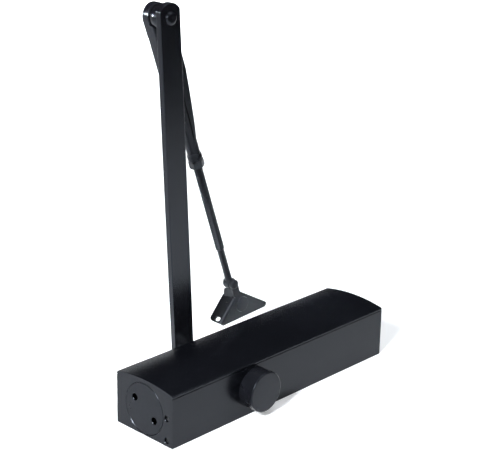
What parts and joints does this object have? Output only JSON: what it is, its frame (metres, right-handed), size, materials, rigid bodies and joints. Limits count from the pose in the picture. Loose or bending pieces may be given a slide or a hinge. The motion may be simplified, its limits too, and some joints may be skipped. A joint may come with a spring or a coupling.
{
  "type": "door closer",
  "caption": "Surface-mounted rack-and-pinion door closer: long arched housing, capped pinion, flat main arm and adjustable forearm with a fixing shoe.",
  "frame": {"origin": "centre of the four fixing holes, on the housing's flat mounting face", "axes": "+X along the housing from the valve end to the spring end, +Y along the pinion from the cap to the arm, +Z away from the mounting face"},
  "size_m": [0.237, 0.1124, 0.3039],
  "materials": {
    "housing_paint": "satin",
    "plug_paint": "satin",
    "cap_gloss": "gloss",
    "arm_paint": "satin",
    "forearm_paint": "satin",
    "rivet_paint": "satin",
    "rod_paint": "satin",
    "shoe_paint": "satin",
    "plated_steel": "satin",
    "valve_steel": "satin",
    "machined_iron": "satin",
    "machined_steel": "polished",
    "spring_steel": "satin",
    "gland_steel": "satin",
    "bearing_bronze": "satin",
    "seal_rubber": "matte"
  },
  "bodies": {
    "housing": {"closer_body": "housing_paint", "front_end_plug": "plug_paint", "front_plug_seal": "seal_rubber", "spring_end_plug": "plug_paint", "spring_plug_seal": "seal_rubber", "closing_valve_seal": "seal_rubber", "latching_valve_seal": "seal_rubber", "outer_spring": "spring_steel", "inner_spring": "spring_steel", "arm_side_bearing": "bearing_bronze", "cap_side_bearing": "bearing_bronze", "arm_side_seal": "seal_rubber", "cap_side_seal": "seal_rubber", "arm_side_gland": "gland_steel", "cap_side_gland": "gland_steel", "pinion_cap": "cap_gloss"},
    "arm_and_pinion": {"pinion": "machined_steel", "main_arm": "arm_paint", "arm_washer": "plated_steel", "arm_screw": "plated_steel", "elbow_rivet": "rivet_paint"},
    "piston": {"rack_piston": "machined_iron", "check_ball": "machined_steel", "ball_retainer": "machined_steel"},
    "closing_valve": {"closing_valve": "valve_steel"},
    "latching_valve": {"latching_valve": "valve_steel"},
    "power_screw": {"power_screw": "machined_steel", "power_screw_clip": "spring_steel"},
    "spring_seat": {"spring_seat": "machined_steel"},
    "forearm": {"forearm_sleeve": "forearm_paint", "elbow_spacer": "forearm_paint"},
    "lock_nut": {"lock_nut": "rod_paint"},
    "rod": {"adjusting_rod": "rod_paint"},
    "shoe": {"shoe_bracket": "shoe_paint", "shoe_pivot_pin": "rod_paint", "shoe_pivot_washer": "plated_steel"}
  },
  "joints": [
    {"name": "pinion_turn", "type": "hinge", "parent": "housing", "child": "arm_and_pinion", "pos_m": [-0.0345, 0, 0.0215], "axis": [0, 1, 0], "range_deg": [0, 180], "stiffness_Nm_per_rad": 3, "springref_deg": -57.3},
    {"name": "piston_slide", "type": "slide", "parent": "housing", "child": "piston", "axis": [1, 0, 0], "range_m": [0, 0.0275], "deforming": ["outer_spring", "inner_spring"]},
    {"name": "closing_valve_turn", "type": "hinge", "parent": "housing", "child": "closing_valve", "pos_m": [-0.1185, -0.0237, 0.0224], "axis": [1, 0, 0], "continuous": true},
    {"name": "latching_valve_turn", "type": "hinge", "parent": "housing", "child": "latching_valve", "pos_m": [-0.1185, -0.0237, 0.0047], "axis": [1, 0, 0], "continuous": true},
    {"name": "power_screw_turn", "type": "hinge", "parent": "housing", "child": "power_screw", "pos_m": [0.1185, 0, 0.0215], "axis": [1, 0, 0], "range_deg": [0, 3600]},
    {"name": "seat_slide", "type": "slide", "parent": "housing", "child": "spring_seat", "axis": [-1, 0, 0], "range_m": [0, 0.01251]},
    {"name": "elbow_turn", "type": "hinge", "parent": "arm_and_pinion", "child": "forearm", "pos_m": [-0.05108, 0.058, 0.29249], "axis": [0, 1, 0], "range_deg": [-180, 180]},
    {"name": "lock_nut_turn", "type": "hinge", "parent": "forearm", "child": "lock_nut", "pos_m": [-0.01102, 0.061, 0.17938], "axis": [0.3338, 0, -0.9426], "continuous": true},
    {"name": "rod_slide", "type": "slide", "parent": "forearm", "child": "rod", "axis": [0.3338, 0, -0.9426], "range_m": [-0.025, 0.022]},
    {"name": "shoe_turn", "type": "hinge", "parent": "rod", "child": "shoe", "pos_m": [0.03071, 0.061, 0.06155], "axis": [0, 1, 0], "range_deg": [-60, 60]}
  ],
  "couplings": [
    {"joint": "piston_slide", "follows": "pinion_turn", "m_per_rad": 0.00875},
    {"joint": "seat_slide", "follows": "power_screw_turn", "m_per_rad": 0.00019894}
  ]
}
